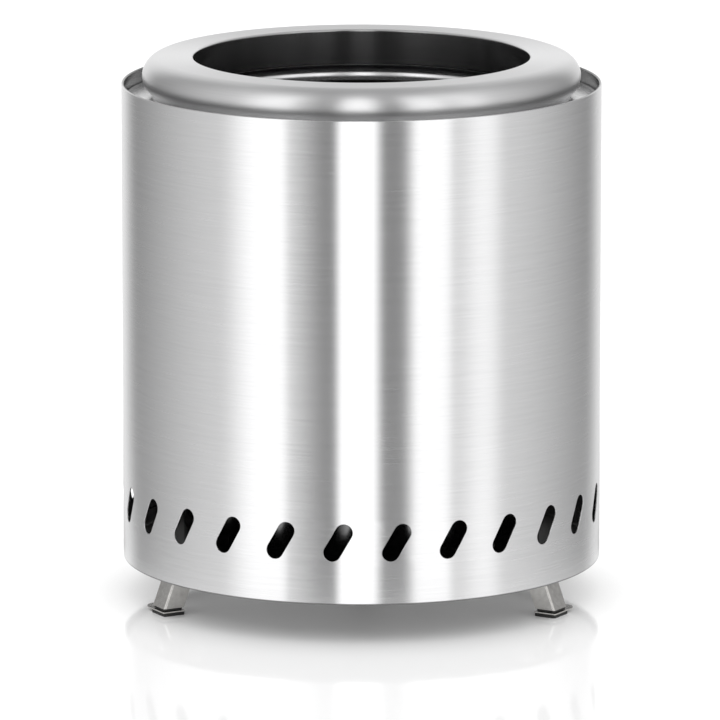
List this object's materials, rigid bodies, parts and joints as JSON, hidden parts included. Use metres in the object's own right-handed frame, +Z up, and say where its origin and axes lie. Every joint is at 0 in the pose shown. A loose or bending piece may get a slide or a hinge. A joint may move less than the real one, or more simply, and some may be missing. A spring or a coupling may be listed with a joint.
{
  "type": "smokeless fire pit",
  "caption": "Round double-walled smokeless fire pit of brushed steel, with slanted air slots, a lift-off flame ring, a fire grate, an ash pan and splayed legs.",
  "frame": {"origin": "on the axis of the pit, at floor level", "axes": "+Z up; -Y is the front that the picture shows; +X to the right"},
  "size_m": [0.4, 0.4, 0.4551],
  "materials": {
    "brushed_shell": "fine horizontal brushing",
    "ring_steel": "fine circular brushing, near satin",
    "inner_steel": "plain mill finish, a little darker",
    "leg_steel": "mill finish, mottled",
    "fastener_steel": "bright plated",
    "black_pad": "matt black"
  },
  "bodies": {
    "fire_pit": {"outer_shell": "brushed_shell", "base_plate": "inner_steel", "burn_chamber": "inner_steel", "grate_support_ring": "inner_steel", "leg_front_left": "leg_steel", "foot_pad_front_left": "black_pad", "foot_plate_front_left": "leg_steel", "foot_rivet_front_left": "fastener_steel", "leg_screw_front_left_1": "fastener_steel", "leg_nut_front_left_1": "fastener_steel", "leg_screw_front_left_2": "fastener_steel", "leg_nut_front_left_2": "fastener_steel", "leg_front_right": "leg_steel", "foot_pad_front_right": "black_pad", "foot_plate_front_right": "leg_steel", "foot_rivet_front_right": "fastener_steel", "leg_screw_front_right_1": "fastener_steel", "leg_nut_front_right_1": "fastener_steel", "leg_screw_front_right_2": "fastener_steel", "leg_nut_front_right_2": "fastener_steel", "leg_rear": "leg_steel", "foot_pad_rear": "black_pad", "foot_plate_rear": "leg_steel", "foot_rivet_rear": "fastener_steel", "leg_screw_rear_1": "fastener_steel", "leg_nut_rear_1": "fastener_steel", "leg_screw_rear_2": "fastener_steel", "leg_nut_rear_2": "fastener_steel"},
    "flame_ring": {"flame_ring": "ring_steel"},
    "ash_pan": {"ash_pan": "inner_steel", "ash_pan_handle": "leg_steel", "ash_pan_rivet_left": "fastener_steel", "ash_pan_rivet_right": "fastener_steel"},
    "fire_grate": {"fire_grate": "inner_steel"}
  },
  "joints": [
    {"name": "flame_ring_lift", "type": "slide", "parent": "fire_pit", "child": "flame_ring", "axis": [0, 0, 1], "range_m": [0, 0.1]},
    {"name": "ash_pan_lift", "type": "slide", "parent": "fire_pit", "child": "ash_pan", "axis": [0, 0, 1], "range_m": [0, 0.44]},
    {"name": "fire_grate_lift", "type": "slide", "parent": "ash_pan", "child": "fire_grate", "axis": [0, 0, 1], "range_m": [0, 0.38]}
  ]
}
